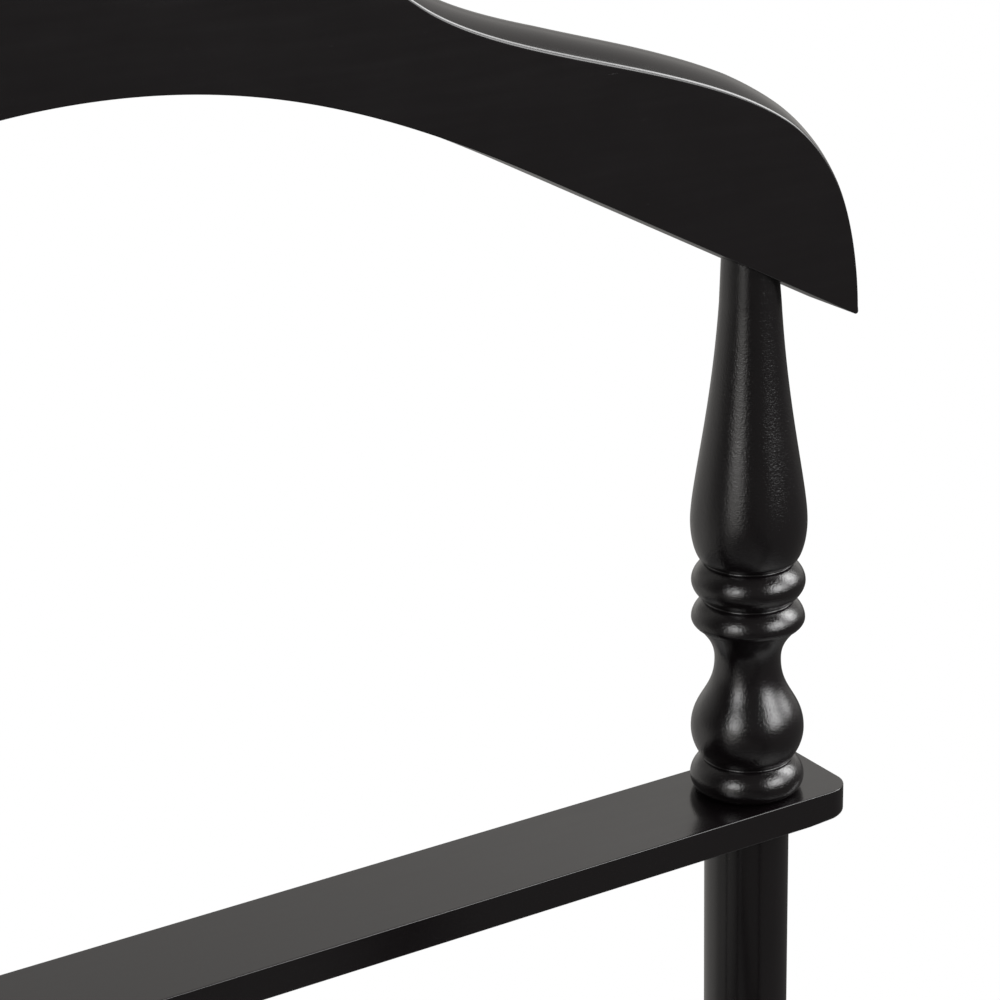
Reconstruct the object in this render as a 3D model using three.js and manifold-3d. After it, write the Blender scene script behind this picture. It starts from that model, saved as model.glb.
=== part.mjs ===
import * as THREE from 'three';
import { mergeVertices } from 'three/addons/utils/BufferGeometryUtils.js';
import Module from 'manifold-3d';

// Double valet stand: a tall rear frame and a lower front frame on two shared sled feet.
// Millimetres. X runs across the frames, Y from front to back, Z up.
// The origin is on the floor, under the middle of the stand.

// Frames
const postSpacing = 404;
const frameSpacing = 250;
const rearPostLength = 736.5;
const frontPostLength = 521.5;
const postDiameter = 25.4;

// Flat trouser rail, clamped between each post and its spindle
const railWidth = 36.5;
const railThickness = 9.5;
const railOverhang = 26.5;
const railCornerRadius = 8;
const railEdgeRound = 0.8;

// Turned spindle, heights measured up from the rail
const footBeadDiameter = 33.6;
const footBeadWaist = 5.8;
const footBeadHeight = 11.2;
const footFaceDiameter = 32.2;
const lowerGrooveDiameter = 26;
const bulbDiameter = 33.2;
const bulbRise = 8.5;
const coveDiameter = 19.3;
const coveRise = 22.1;
const coveLipDiameter = 28;
const coveLipRise = 10.3;
const beadDiameter = 33.2;
const lowerBeadSwell = 2.9;
const lowerBeadTop = 6;
const middleGrooveDiameter = 26;
const upperBeadSwell = 5.7;
const upperBeadTop = 6.1;
const upperGrooveDiameter = 25.6;
const vaseDiameter = 33.8;
const vaseSwell = 12.4;
const neckDiameter = 16.5;
const vaseShoulderPull = 11.5;
const neckPull = 38.5;
const neckFlare = 1.5;
const bulbPull = 0.405;
const covePull = 0.485;
const quarterPull = 0.55;
const grooveRound = 0.1;
const lipRound = 0.3;
const lipLevel = 0.8;
const vaseRound = 0.425;

// Hanger board, heights measured up from the rail
const hangerThickness = 22;
const hangerSeatHeight = 160.4;
const hangerSeatSlope = 0.53;
const hangerArchHeight = 237.5;
const hangerTopHeight = 288;
const hangerEndOverhang = 30.2;
const shoulderRise = 46;
const archTangentX = 73;
const humpHalfWidth = 91.3;
const humpFootHeight = 248.6;
const shoulderOverhang = 2;
const cheekInset = 8.5;
const hangerEdgeRound = 0.9;
const crownRise = 4.2;

// How far the hanger's outline runs on sideways, and falls, on each side of its joins
const humpRunIn = 20;
const humpFallIn = 10.5;
const humpRunOut = 30;
const humpFallOut = 13.3;
const shoulderRunIn = 18;
const shoulderFallIn = 11.3;
const shoulderRunOut = 7.9;
const shoulderFallOut = 4.3;
const cheekRunIn = 4.7;
const cheekFallIn = 8.8;
const cheekRunOut = 5.6;
const cheekFallOut = 10.6;
const tipRun = 0.3;
const tipRise = 14;

// Joinery
const clearance = 0.3;
const tenonDiameter = 12.7;
const tenonLength = 24;
const studDiameter = 8;
const studInSpindle = 25;
const nutDiameter = 12;
const nutLength = 15;

// Sled feet
const runnerWidth = 30;
const runnerHeight = 62;
const runnerOverhang = 85;
const runnerEdgeRound = 2;
const postSeatLength = 42;
const toeHeight = 22;
const toeNoseRadius = 7;
const toeEdgeRound = 4;
const toeCrown = 1;
const toeRun = 24;
const toeRise = 4;
const seatRun = 22;
const padLength = 40;
const archRise = 18;
const archEase = 30;
const scoopDepth = 8;
const scoopEase = 40;
const baseHeadDiameter = 15;
const baseHeadHeight = 4;
const baseHeadRecess = 6;

// Glides under the sled feet
const glideDiameter = 24;
const glideThickness = 4;
const glidePinDiameter = 5;
const glidePinLength = 12;
const glideEdgeRound = 1.5;

// Shoe bars between the sled feet
const shoeBarCount = 4;
const shoeBarDiameter = 16;
const shoeBarSpan = 186;
const shoeBarHeight = 41;
const shoeBarSocket = 12;

// Tray on two bearers between the frames
const bearerWidth = 20;
const bearerHeight = 34;
const bearerTopHeight = 470;
const bearerBoltDiameter = 6;
const bearerBoltHeadDiameter = 11;
const bearerBoltHeadHeight = 3.5;
const bearerBoltRecess = 4;
const bearerBoltReach = 34;
const barrelNutDiameter = 10;
const barrelNutLength = 14;
const barrelNutInset = 28;
const trayDepth = 188;
const traySideOverhang = 2;
const trayFloorThickness = 10;
const lipThickness = 8;
const lipHeight = 26;
const trayScrewDiameter = 4.5;
const trayScrewHeadDiameter = 9;
const trayScrewHeadHeight = 2.7;
const trayScrewRecess = 8;
const trayScrewBite = 7;
const trayScrewSpan = 110;

// Facets round a post or spindle, a shoe bar, and a bore or fastener
const turnedFacets = 18;
const barFacets = 12;
const boreFacets = 10;

// Sizes that follow from the ones above
const postX = postSpacing / 2;
const frameY = frameSpacing / 2;
const postRadius = postDiameter / 2;
const runnerTop = glideThickness + runnerHeight;
const runnerInnerX = postX - runnerWidth / 2;
const bearerBottom = bearerTopHeight - bearerHeight;
const bearerBoltHeight = bearerTopHeight - bearerHeight / 2;
const studLength = studInSpindle + railThickness + nutLength;
const baseBoltGrip = runnerHeight - archRise - baseHeadRecess;
const trayWidth = postSpacing + bearerWidth + 2 * traySideOverhang;

const wasm = await Module();
wasm.setup();

// Materials

const lacqueredWood = (name) =>
  new THREE.MeshStandardMaterial({ name, color: 0x1c1a1b, roughness: 0.4, metalness: 0 });

const platedSteel = (name) =>
  new THREE.MeshStandardMaterial({ name, color: 0xb9bbbf, roughness: 0.35, metalness: 1 });

const blackNylon = (name) =>
  new THREE.MeshStandardMaterial({ name, color: 0x232323, roughness: 0.6, metalness: 0 });

// Solids

// A closed geometry as a solid that can be cut and joined.
function solid(geometry) {
  const bare = geometry.clone();
  bare.deleteAttribute('normal');
  bare.deleteAttribute('uv');
  const merged = mergeVertices(bare, 1e-4);
  const vertProperties = new Float32Array(merged.attributes.position.array);
  const triVerts = new Uint32Array(merged.index.array);
  return new wasm.Manifold(new wasm.Mesh({ numProp: 3, vertProperties, triVerts }));
}

// A solid as a flat-shaded geometry.
function facets(made) {
  const mesh = made.getMesh();
  const indexed = new THREE.BufferGeometry();
  indexed.setAttribute('position', new THREE.Float32BufferAttribute(mesh.vertProperties, 3));
  indexed.setIndex(Array.from(mesh.triVerts));
  const geometry = indexed.toNonIndexed();
  geometry.computeVertexNormals();
  return geometry;
}

// A profile of radius and height points, turned about the Z axis.
function turned(profile, count = turnedFacets) {
  return new THREE.LatheGeometry(profile, count).rotateX(Math.PI / 2);
}

// A plain rod from one height to another on the Z axis.
function rod(diameter, bottom, top, count = boreFacets) {
  const length = top - bottom;
  const cylinder = new THREE.CylinderGeometry(diameter / 2, diameter / 2, length, count);
  return cylinder.rotateX(Math.PI / 2).translate(0, 0, (top + bottom) / 2);
}

// A rod with a wider head below it, from the head's face up to the tip.
function headedRod(diameter, headDiameter, headHeight, length, count = boreFacets) {
  const profile = [
    new THREE.Vector2(0, 0),
    new THREE.Vector2(headDiameter / 2, 0),
    new THREE.Vector2(headDiameter / 2, headHeight),
    new THREE.Vector2(diameter / 2, headHeight),
    new THREE.Vector2(diameter / 2, length),
    new THREE.Vector2(0, length),
  ];
  return turned(profile, count);
}

// An outline in the X-Z plane, given thickness along Y and centred on it, with its edges eased.
function board(outline, thickness, round = 0, curveSegments = 4) {
  const geometry = new THREE.ExtrudeGeometry(outline, {
    depth: thickness - 2 * round,
    bevelEnabled: round > 0,
    bevelThickness: round,
    bevelSize: round,
    bevelOffset: -round,
    bevelSegments: 1,
    curveSegments,
  });
  return geometry.translate(0, 0, round - thickness / 2).rotateX(Math.PI / 2);
}

// Turns a board that lies in the X-Z plane so that its length runs along Y.
const alongY = (geometry) => geometry.rotateZ(Math.PI / 2);

function part(name, geometry, material) {
  const mesh = new THREE.Mesh(geometry, material(name));
  mesh.name = name;
  return mesh;
}

function placed(mesh, x, y, z) {
  mesh.position.set(x, y, z);
  return mesh;
}

// Turned spindle

// A quarter turn from a sharp groove out to the widest line, which it reaches upright. The round
// is how far it runs sideways out of the groove.
function swell(path, radius, rise, round = grooveRound) {
  const start = path.currentPoint.clone();
  path.bezierCurveTo(
    start.x + round * (radius - start.x), start.y,
    radius, start.y + (1 - quarterPull) * rise,
    radius, start.y + rise,
  );
}

// The quarter that follows it, from the widest or narrowest line into the next groove or lip.
function rollOff(path, radius, rise, round = grooveRound, level = 1) {
  const start = path.currentPoint.clone();
  path.bezierCurveTo(
    start.x, start.y + quarterPull * rise,
    start.x + (1 - round) * (radius - start.x), start.y + level * rise,
    radius, start.y + rise,
  );
}

function spindleProfile() {
  const path = new THREE.Path();
  const neckRadius = neckDiameter / 2;
  path.moveTo(footFaceDiameter / 2, 0);
  path.quadraticCurveTo(footBeadDiameter / 2, 0.4 * footBeadWaist, footBeadDiameter / 2, footBeadWaist);
  rollOff(path, lowerGrooveDiameter / 2, footBeadHeight - footBeadWaist);
  swell(path, bulbDiameter / 2, bulbRise);
  const bulb = path.currentPoint.clone();
  const coveZ = bulb.y + coveRise;
  path.bezierCurveTo(
    bulb.x, bulb.y + bulbPull * coveRise,
    coveDiameter / 2, coveZ - covePull * coveRise,
    coveDiameter / 2, coveZ,
  );
  rollOff(path, coveLipDiameter / 2, coveLipRise, lipRound, lipLevel);
  swell(path, beadDiameter / 2, lowerBeadSwell);
  rollOff(path, middleGrooveDiameter / 2, lowerBeadTop);
  swell(path, beadDiameter / 2, upperBeadSwell);
  rollOff(path, upperGrooveDiameter / 2, upperBeadTop);
  swell(path, vaseDiameter / 2, vaseSwell, vaseRound);
  const vase = path.currentPoint.clone();
  path.bezierCurveTo(
    vase.x, vase.y + vaseShoulderPull,
    neckRadius + neckFlare, hangerSeatHeight - neckPull,
    neckRadius, hangerSeatHeight,
  );
  // The neck runs on up, to be cut at the slope of the hanger's underside.
  const neckTop = hangerSeatHeight + hangerSeatSlope * neckRadius;
  return [
    new THREE.Vector2(0, 0),
    ...path.getPoints(3),
    new THREE.Vector2(neckRadius, neckTop),
    new THREE.Vector2(0, neckTop),
  ];
}

function spindleSolid() {
  const reach = neckDiameter;
  const slopeAt = (x) => hangerSeatHeight - clearance - hangerSeatSlope * x;
  const wedge = new THREE.Shape();
  wedge.moveTo(-reach, slopeAt(-reach));
  wedge.lineTo(reach, slopeAt(reach));
  wedge.lineTo(reach, hangerSeatHeight + 2 * reach);
  wedge.lineTo(-reach, hangerSeatHeight + 2 * reach);
  const tenonRoot = hangerSeatHeight - 2 * tenonDiameter;
  const body = solid(turned(spindleProfile()));
  const shouldered = body.subtract(solid(board(wedge, 2 * reach)));
  const tenon = solid(rod(tenonDiameter, tenonRoot, hangerSeatHeight + tenonLength));
  const studBore = solid(rod(studDiameter + 2 * clearance, -1, studInSpindle + clearance));
  return shouldered.add(tenon).subtract(studBore);
}

// Hanger board

// Right half of the outline, from the middle of the hump round the tip to the middle of the arch.
function hangerHalf() {
  const point = (x, z) => new THREE.Vector2(x, z);
  const tipX = postX + hangerEndOverhang;
  const tipZ = hangerSeatHeight - hangerSeatSlope * hangerEndOverhang;
  const shoulder = point(postX + shoulderOverhang, hangerSeatHeight + shoulderRise);
  const cheek = point(tipX - cheekInset, tipZ + 0.65 * (shoulder.y - tipZ));
  const humpFoot = point(humpHalfWidth, humpFootHeight);
  const tangentX = postX - archTangentX;
  const tangent = point(tangentX, hangerSeatHeight + hangerSeatSlope * archTangentX);
  const archPull = 0.34 * tangentX;
  const curves = [
    [point(0, hangerTopHeight), point(0.46 * humpHalfWidth, hangerTopHeight),
      point(humpFoot.x - humpRunIn, humpFoot.y + humpFallIn), humpFoot, 4],
    [humpFoot, point(humpFoot.x + humpRunOut, humpFoot.y - humpFallOut),
      point(shoulder.x - shoulderRunIn, shoulder.y + shoulderFallIn), shoulder, 6],
    [shoulder, point(shoulder.x + shoulderRunOut, shoulder.y - shoulderFallOut),
      point(cheek.x - cheekRunIn, cheek.y + cheekFallIn), cheek, 4],
    [cheek, point(cheek.x + cheekRunOut, cheek.y - cheekFallOut),
      point(tipX + tipRun, tipZ + tipRise), point(tipX, tipZ), 4],
    [tangent, point(tangent.x - archPull, tangent.y + hangerSeatSlope * archPull),
      point(0.37 * tangentX, hangerArchHeight), point(0, hangerArchHeight), 6],
  ];
  return curves.flatMap(([a, b, c, d, steps], index) => {
    const points = new THREE.CubicBezierCurve(a, b, c, d).getPoints(steps);
    const joinsOn = index > 0 && index < 4;
    return joinsOn ? points.slice(1) : points;
  });
}

// Sections through the thickness: how far the edge is drawn in at each depth from the front face,
// and how far the crown stands above it, which only the top edge has.
function hangerSections() {
  const half = hangerThickness / 2;
  const eased = [
    [-half, hangerEdgeRound],
    [-half + hangerEdgeRound, 0],
    [-0.6 * half, 0],
    [-0.25 * half, 0],
    [0.25 * half, 0],
    [0.6 * half, 0],
    [half - hangerEdgeRound, 0],
    [half, hangerEdgeRound],
  ];
  return eased.map(([y, drawnIn]) => ({ y, drawnIn, crown: crownRise * (1 - (y / half) ** 2) }));
}

function hangerGeometry() {
  const right = hangerHalf();
  const left = right.slice(1, -1).reverse().map((p) => new THREE.Vector2(-p.x, p.y));
  const outline = [...right, ...left].reverse();
  const count = outline.length;
  const crownStart = hangerSeatHeight;
  const inward = outline.map((p, i) => {
    const before = outline[(i + count - 1) % count];
    const after = outline[(i + 1) % count];
    const a = p.clone().sub(before).normalize();
    const b = after.clone().sub(p).normalize();
    const normal = new THREE.Vector2(-a.y - b.y, a.x + b.x).normalize();
    return normal.multiplyScalar(1 / Math.max(0.5, -a.y * normal.x + a.x * normal.y));
  });
  // One on the top edge and its shoulders, nothing on the underside.
  const crowned = outline.map((p, i) => {
    if (inward[i].y > 0) return 0;
    return THREE.MathUtils.clamp((p.y - crownStart) / (0.5 * shoulderRise), 0, 1);
  });
  const rings = hangerSections().map(({ y, drawnIn, crown }) =>
    outline.map((p, i) => {
      const shift = drawnIn - crowned[i] * crown;
      const moved = p.clone().addScaledVector(inward[i], shift);
      return new THREE.Vector3(moved.x, y, moved.y);
    }));
  const positions = rings.flat().flatMap((v) => [v.x, v.y, v.z]);
  const index = [];
  for (let ring = 0; ring < rings.length - 1; ring += 1) {
    for (let i = 0; i < count; i += 1) {
      const a = ring * count + i;
      const b = ring * count + ((i + 1) % count);
      index.push(a, b + count, b, a, a + count, b + count);
    }
  }
  const lastRing = (rings.length - 1) * count;
  for (const [a, b, c] of THREE.ShapeUtils.triangulateShape(outline, [])) {
    index.push(a, b, c);
    index.push(lastRing + c, lastRing + b, lastRing + a);
  }
  const geometry = new THREE.BufferGeometry();
  geometry.setAttribute('position', new THREE.Float32BufferAttribute(positions, 3));
  geometry.setIndex(index);
  return geometry;
}

function hangerSolid() {
  const boreTop = hangerSeatHeight + tenonLength + clearance;
  const bore = rod(tenonDiameter + 2 * clearance, hangerSeatHeight - tenonDiameter, boreTop);
  return [-postX, postX].reduce(
    (body, x) => body.subtract(solid(bore.clone().translate(x, 0, 0))),
    solid(hangerGeometry()),
  );
}

// Trouser rail

function railSolid() {
  const length = postSpacing + 2 * railOverhang;
  const halfLength = length / 2;
  const halfWidth = railWidth / 2;
  const r = railCornerRadius;
  const plan = new THREE.Shape();
  plan.moveTo(-halfLength + r, -halfWidth);
  plan.lineTo(halfLength - r, -halfWidth);
  plan.absarc(halfLength - r, -halfWidth + r, r, -Math.PI / 2, 0);
  plan.lineTo(halfLength, halfWidth - r);
  plan.absarc(halfLength - r, halfWidth - r, r, 0, Math.PI / 2);
  plan.lineTo(-halfLength + r, halfWidth);
  plan.absarc(-halfLength + r, halfWidth - r, r, Math.PI / 2, Math.PI);
  plan.lineTo(-halfLength, -halfWidth + r);
  plan.absarc(-halfLength + r, -halfWidth + r, r, Math.PI, 1.5 * Math.PI);
  const flat = board(plan, railThickness, railEdgeRound).rotateX(-Math.PI / 2);
  const slab = solid(flat.translate(0, 0, railThickness / 2));
  const hole = rod(studDiameter + 2 * clearance, -1, railThickness + 1);
  return [-postX, postX].reduce(
    (body, x) => body.subtract(solid(hole.clone().translate(x, 0, 0))),
    slab,
  );
}

// Posts

// A plain dowel post whose cross bolt enters on its front side, bored at both ends for the nuts.
function postSolid(length) {
  const nutBore = nutDiameter + 2 * clearance;
  const socket = nutLength + 1;
  const crossHeight = bearerBoltHeight - runnerTop;
  const crossBore = rod(bearerBoltDiameter + 2 * clearance, -postDiameter, postDiameter);
  const headBore = rod(
    bearerBoltHeadDiameter + 2 * clearance,
    postRadius - bearerBoltRecess - clearance,
    postDiameter,
  );
  const toFront = (geometry) => geometry.rotateX(Math.PI / 2).translate(0, 0, crossHeight);
  return solid(rod(postDiameter, 0, length, turnedFacets))
    .subtract(solid(rod(nutBore, -1, socket)))
    .subtract(solid(rod(nutBore, length - socket, length + 1)))
    .subtract(solid(toFront(crossBore)))
    .subtract(solid(toFront(headBore)));
}

function nutSolid() {
  const bore = rod(studDiameter + 2 * clearance, -1, nutLength + 1);
  return solid(rod(nutDiameter, 0, nutLength)).subtract(solid(bore));
}

// One frame: hanger, two spindles, rail and two posts, with the studs and nuts that clamp them.
function frame(side, postLength) {
  const group = new THREE.Group();
  const rail = part(`${side}_trouser_rail`, facets(railSolid()), lacqueredWood);
  group.add(placed(rail, 0, 0, postLength));
  const seat = postLength + railThickness;
  const hanger = part(`${side}_hanger`, facets(hangerSolid()), lacqueredWood);
  group.add(placed(hanger, 0, 0, seat));
  const spindleShape = facets(spindleSolid());
  const postShape = facets(postSolid(postLength));
  const nutShape = facets(nutSolid());
  for (const [hand, x] of [['left', -postX], ['right', postX]]) {
    const spindle = part(`${side}_${hand}_spindle`, spindleShape, lacqueredWood);
    spindle.rotation.z = hand === 'left' ? Math.PI : 0;
    group.add(placed(spindle, x, 0, seat));
    const post = part(`${side}_${hand}_post`, postShape, lacqueredWood);
    post.rotation.z = side === 'rear' ? Math.PI : 0;
    group.add(placed(post, x, 0, 0));
    const stud = part(`${side}_${hand}_spindle_stud`, rod(studDiameter, 0, studLength), platedSteel);
    group.add(placed(stud, x, 0, postLength - nutLength));
    const topNut = part(`${side}_${hand}_post_top_nut`, nutShape, platedSteel);
    group.add(placed(topNut, x, 0, postLength - nutLength));
    const footNut = part(`${side}_${hand}_post_foot_nut`, nutShape, platedSteel);
    group.add(placed(footNut, x, 0, 0));
  }
  return group;
}

// Sled feet

// Front or back half of the side outline, from the middle of the underside round the toe to the top.
function runnerHalf(path, sign) {
  const end = frameY + runnerOverhang;
  const seatFront = frameY + postSeatLength / 2;
  const seatBack = frameY - postSeatLength / 2;
  const padStart = end - toeNoseRadius - padLength;
  const archStart = padStart - archEase;
  const toeBack = end - 1.5 * toeNoseRadius;
  const scoopStart = seatBack - scoopEase;
  const stations = [
    ['line', [archStart, archRise]],
    ['curve', [archStart + archEase / 2, archRise], [padStart - archEase / 2, 0], [padStart, 0]],
    ['line', [end - toeNoseRadius, 0]],
    ['curve', [end - 0.4 * toeNoseRadius, 0], [end, 0.4 * toeNoseRadius], [end, toeNoseRadius]],
    ['curve', [end, toeHeight - toeEdgeRound], [end - toeEdgeRound, toeHeight],
      [toeBack, toeHeight + toeCrown]],
    ['curve', [toeBack - toeRun, toeHeight + toeRise], [seatFront + seatRun, runnerHeight],
      [seatFront, runnerHeight]],
    ['line', [seatBack, runnerHeight]],
    ['curve', [seatBack - scoopEase / 2, runnerHeight], [scoopStart + scoopEase / 2,
      runnerHeight - scoopDepth], [scoopStart, runnerHeight - scoopDepth]],
  ];
  const at = ([y, z]) => [sign * y, z];
  if (sign > 0) {
    for (const [kind, ...points] of stations) {
      if (kind === 'line') path.lineTo(...at(points[0]));
      else path.bezierCurveTo(...points.flatMap(at));
    }
    return;
  }
  // The other half is walked backwards, so each curve swaps its ends.
  const ends = [[0, archRise], ...stations.map((station) => station[station.length - 1])];
  path.lineTo(...at(ends[ends.length - 1]));
  for (let i = stations.length - 1; i >= 0; i -= 1) {
    const [kind, first, second] = stations[i];
    if (kind === 'line') path.lineTo(...at(ends[i]));
    else path.bezierCurveTo(...at(second), ...at(first), ...at(ends[i]));
  }
}

const shoeBarY = (index) => (index / (shoeBarCount - 1) - 0.5) * shoeBarSpan;
const glideY = frameY + runnerOverhang - toeNoseRadius - padLength / 2;

// A sled foot whose inner face, with the shoe bar sockets, looks towards +X.
function runnerSolid() {
  const outline = new THREE.Shape();
  outline.moveTo(0, archRise);
  runnerHalf(outline, 1);
  runnerHalf(outline, -1);
  let body = solid(alongY(board(outline, runnerWidth, runnerEdgeRound)));
  const boltBore = rod(studDiameter + 2 * clearance, 0, runnerHeight + 1);
  const headTop = archRise + baseHeadRecess + clearance;
  const headBore = rod(baseHeadDiameter + 2 * clearance, -1, headTop);
  const pinBore = rod(glidePinDiameter + 2 * clearance, -1, glidePinLength + clearance);
  for (const side of [-1, 1]) {
    for (const bore of [boltBore, headBore]) {
      body = body.subtract(solid(bore.clone().translate(0, side * frameY, 0)));
    }
    body = body.subtract(solid(pinBore.clone().translate(0, side * glideY, 0)));
  }
  const face = runnerWidth / 2;
  const socketDiameter = shoeBarDiameter + 2 * clearance;
  const socket = rod(socketDiameter, face - shoeBarSocket, face + 1, barFacets);
  socket.rotateY(Math.PI / 2);
  for (let i = 0; i < shoeBarCount; i += 1) {
    const z = shoeBarHeight - glideThickness;
    body = body.subtract(solid(socket.clone().translate(0, shoeBarY(i), z)));
  }
  return body;
}

function glideGeometry() {
  const pad = glideDiameter / 2;
  const pin = glidePinDiameter / 2;
  const profile = [
    new THREE.Vector2(0, 0),
    new THREE.Vector2(pad - glideEdgeRound, 0),
    new THREE.Vector2(pad, glideEdgeRound),
    new THREE.Vector2(pad, glideThickness),
    new THREE.Vector2(pin, glideThickness),
    new THREE.Vector2(pin, glideThickness + glidePinLength),
    new THREE.Vector2(0, glideThickness + glidePinLength),
  ];
  return turned(profile, boreFacets);
}

function base() {
  const group = new THREE.Group();
  const runnerShape = facets(runnerSolid());
  const boltLength = baseHeadHeight + baseBoltGrip + nutLength;
  const boltShape = headedRod(studDiameter, baseHeadDiameter, baseHeadHeight, boltLength);
  const boltBottom = glideThickness + archRise + baseHeadRecess - baseHeadHeight;
  for (const [hand, x] of [['left', -postX], ['right', postX]]) {
    const runner = part(`${hand}_sled_foot`, runnerShape, lacqueredWood);
    runner.rotation.z = hand === 'right' ? Math.PI : 0;
    group.add(placed(runner, x, 0, glideThickness));
    for (const [side, sign] of [['front', -1], ['rear', 1]]) {
      const bolt = part(`${side}_${hand}_base_bolt`, boltShape, platedSteel);
      group.add(placed(bolt, x, sign * frameY, boltBottom));
      const glide = part(`${side}_${hand}_glide`, glideGeometry(), blackNylon);
      group.add(placed(glide, x, sign * glideY, 0));
    }
  }
  const barReach = runnerInnerX + shoeBarSocket - clearance;
  const barShape = rod(shoeBarDiameter, -barReach, barReach, barFacets).rotateY(Math.PI / 2);
  for (let i = 0; i < shoeBarCount; i += 1) {
    const bar = part(`shoe_bar_${i + 1}`, barShape, lacqueredWood);
    group.add(placed(bar, 0, shoeBarY(i), shoeBarHeight));
  }
  return group;
}

// Tray and its bearers

const barrelNutY = frameY - postRadius - barrelNutInset;

// A bearer for the left side: its ends are coped round the posts, its nut bores open towards +X.
function bearerSolid() {
  const block = new THREE.BoxGeometry(bearerWidth, frameSpacing, bearerHeight);
  const cope = rod(postDiameter + 2 * clearance, -bearerHeight, bearerHeight, turnedFacets);
  const boltEnd = postRadius + bearerBoltReach + 1;
  const boltBore = rod(bearerBoltDiameter + 2 * clearance, 0, boltEnd);
  const nutBore = rod(
    barrelNutDiameter + 2 * clearance,
    -barrelNutLength / 2 - clearance,
    bearerWidth,
  );
  nutBore.rotateY(Math.PI / 2);
  const half = bearerHeight / 2;
  const screwBore = rod(trayScrewDiameter + 2 * clearance, -half - 1, half + 1);
  const screwTop = trayScrewRecess - half + clearance;
  const screwHead = rod(trayScrewHeadDiameter + 2 * clearance, -half - 1, screwTop);
  let body = solid(block);
  for (const side of [-1, 1]) {
    const boltWay = boltBore.clone().rotateX(side * Math.PI / 2);
    body = body
      .subtract(solid(cope.clone().translate(0, side * frameY, 0)))
      .subtract(solid(boltWay.translate(0, side * frameY, 0)))
      .subtract(solid(nutBore.clone().translate(0, side * barrelNutY, 0)))
      .subtract(solid(screwBore.clone().translate(0, side * trayScrewSpan / 2, 0)))
      .subtract(solid(screwHead.clone().translate(0, side * trayScrewSpan / 2, 0)));
  }
  return body;
}

function barrelNutSolid() {
  const half = barrelNutLength / 2;
  const cross = rod(bearerBoltDiameter + 2 * clearance, -barrelNutLength, barrelNutLength);
  return solid(rod(barrelNutDiameter, -half, half).rotateY(Math.PI / 2))
    .subtract(solid(cross.rotateX(Math.PI / 2)));
}

// Floor board of the tray, with blind pilot holes for the screws.
function trayFloorSolid() {
  const slab = new THREE.BoxGeometry(trayWidth, trayDepth, trayFloorThickness);
  let body = solid(slab.translate(0, 0, trayFloorThickness / 2));
  const pilot = rod(trayScrewDiameter + 2 * clearance, -1, trayScrewBite + clearance);
  for (const x of [-postX, postX]) {
    for (const side of [-1, 1]) {
      body = body.subtract(solid(pilot.clone().translate(x, side * trayScrewSpan / 2, 0)));
    }
  }
  return body;
}

// A lip of the tray: a strip with a half-round top edge, running along X.
function lipGeometry(length) {
  const half = lipThickness / 2;
  const section = new THREE.Shape();
  section.moveTo(-half, 0);
  section.lineTo(half, 0);
  section.lineTo(half, lipHeight - half);
  section.absarc(0, lipHeight - half, half, 0, Math.PI);
  section.lineTo(-half, 0);
  return alongY(board(section, length));
}

function tray() {
  const group = new THREE.Group();
  const bearerShape = facets(bearerSolid());
  const barrelNutShape = facets(barrelNutSolid());
  const headSeat = postRadius - bearerBoltRecess;
  const boltShape = headedRod(
    bearerBoltDiameter,
    bearerBoltHeadDiameter,
    bearerBoltHeadHeight,
    bearerBoltHeadHeight + headSeat + postRadius + bearerBoltReach,
  );
  boltShape.rotateX(-Math.PI / 2);
  const screwLength = trayScrewHeadHeight + bearerHeight - trayScrewRecess + trayScrewBite;
  const screwShape = headedRod(
    trayScrewDiameter,
    trayScrewHeadDiameter,
    trayScrewHeadHeight,
    screwLength,
  );
  for (const [hand, x] of [['left', -postX], ['right', postX]]) {
    const bearer = part(`${hand}_tray_bearer`, bearerShape, lacqueredWood);
    bearer.rotation.z = hand === 'right' ? Math.PI : 0;
    group.add(placed(bearer, x, 0, bearerBoltHeight));
    for (const [side, sign] of [['front', -1], ['rear', 1]]) {
      const bolt = part(`${side}_${hand}_bearer_bolt`, boltShape, platedSteel);
      bolt.rotation.z = sign > 0 ? Math.PI : 0;
      const headY = sign * (frameY + headSeat + bearerBoltHeadHeight);
      group.add(placed(bolt, x, headY, bearerBoltHeight));
      const barrelNut = part(`${side}_${hand}_barrel_nut`, barrelNutShape, platedSteel);
      group.add(placed(barrelNut, x, sign * barrelNutY, bearerBoltHeight));
      const screw = part(`${side}_${hand}_tray_screw`, screwShape, platedSteel);
      const screwBottom = bearerBottom + trayScrewRecess - trayScrewHeadHeight;
      group.add(placed(screw, x, sign * trayScrewSpan / 2, screwBottom));
    }
  }
  const floor = part('tray_floor', facets(trayFloorSolid()), lacqueredWood);
  group.add(placed(floor, 0, 0, bearerTopHeight));
  const lipZ = bearerTopHeight + trayFloorThickness;
  const longLip = lipGeometry(trayWidth);
  const shortLip = lipGeometry(trayDepth - 2 * lipThickness).rotateZ(Math.PI / 2);
  for (const [side, sign] of [['front', -1], ['rear', 1]]) {
    const lip = part(`tray_${side}_lip`, longLip, lacqueredWood);
    group.add(placed(lip, 0, sign * (trayDepth - lipThickness) / 2, lipZ));
  }
  for (const [hand, sign] of [['left', -1], ['right', 1]]) {
    const lip = part(`tray_${hand}_lip`, shortLip, lacqueredWood);
    group.add(placed(lip, sign * (trayWidth - lipThickness) / 2, 0, lipZ));
  }
  return group;
}

const group = new THREE.Group();
const rearFrame = frame('rear', rearPostLength);
group.add(placed(rearFrame, 0, frameY, runnerTop));
const frontFrame = frame('front', frontPostLength);
group.add(placed(frontFrame, 0, -frameY, runnerTop));
group.add(base());
group.add(tray());

export default group;
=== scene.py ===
import math

import bpy
import numpy as np
from mathutils import Matrix, Vector
from mathutils.geometry import tessellate_polygon


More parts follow.
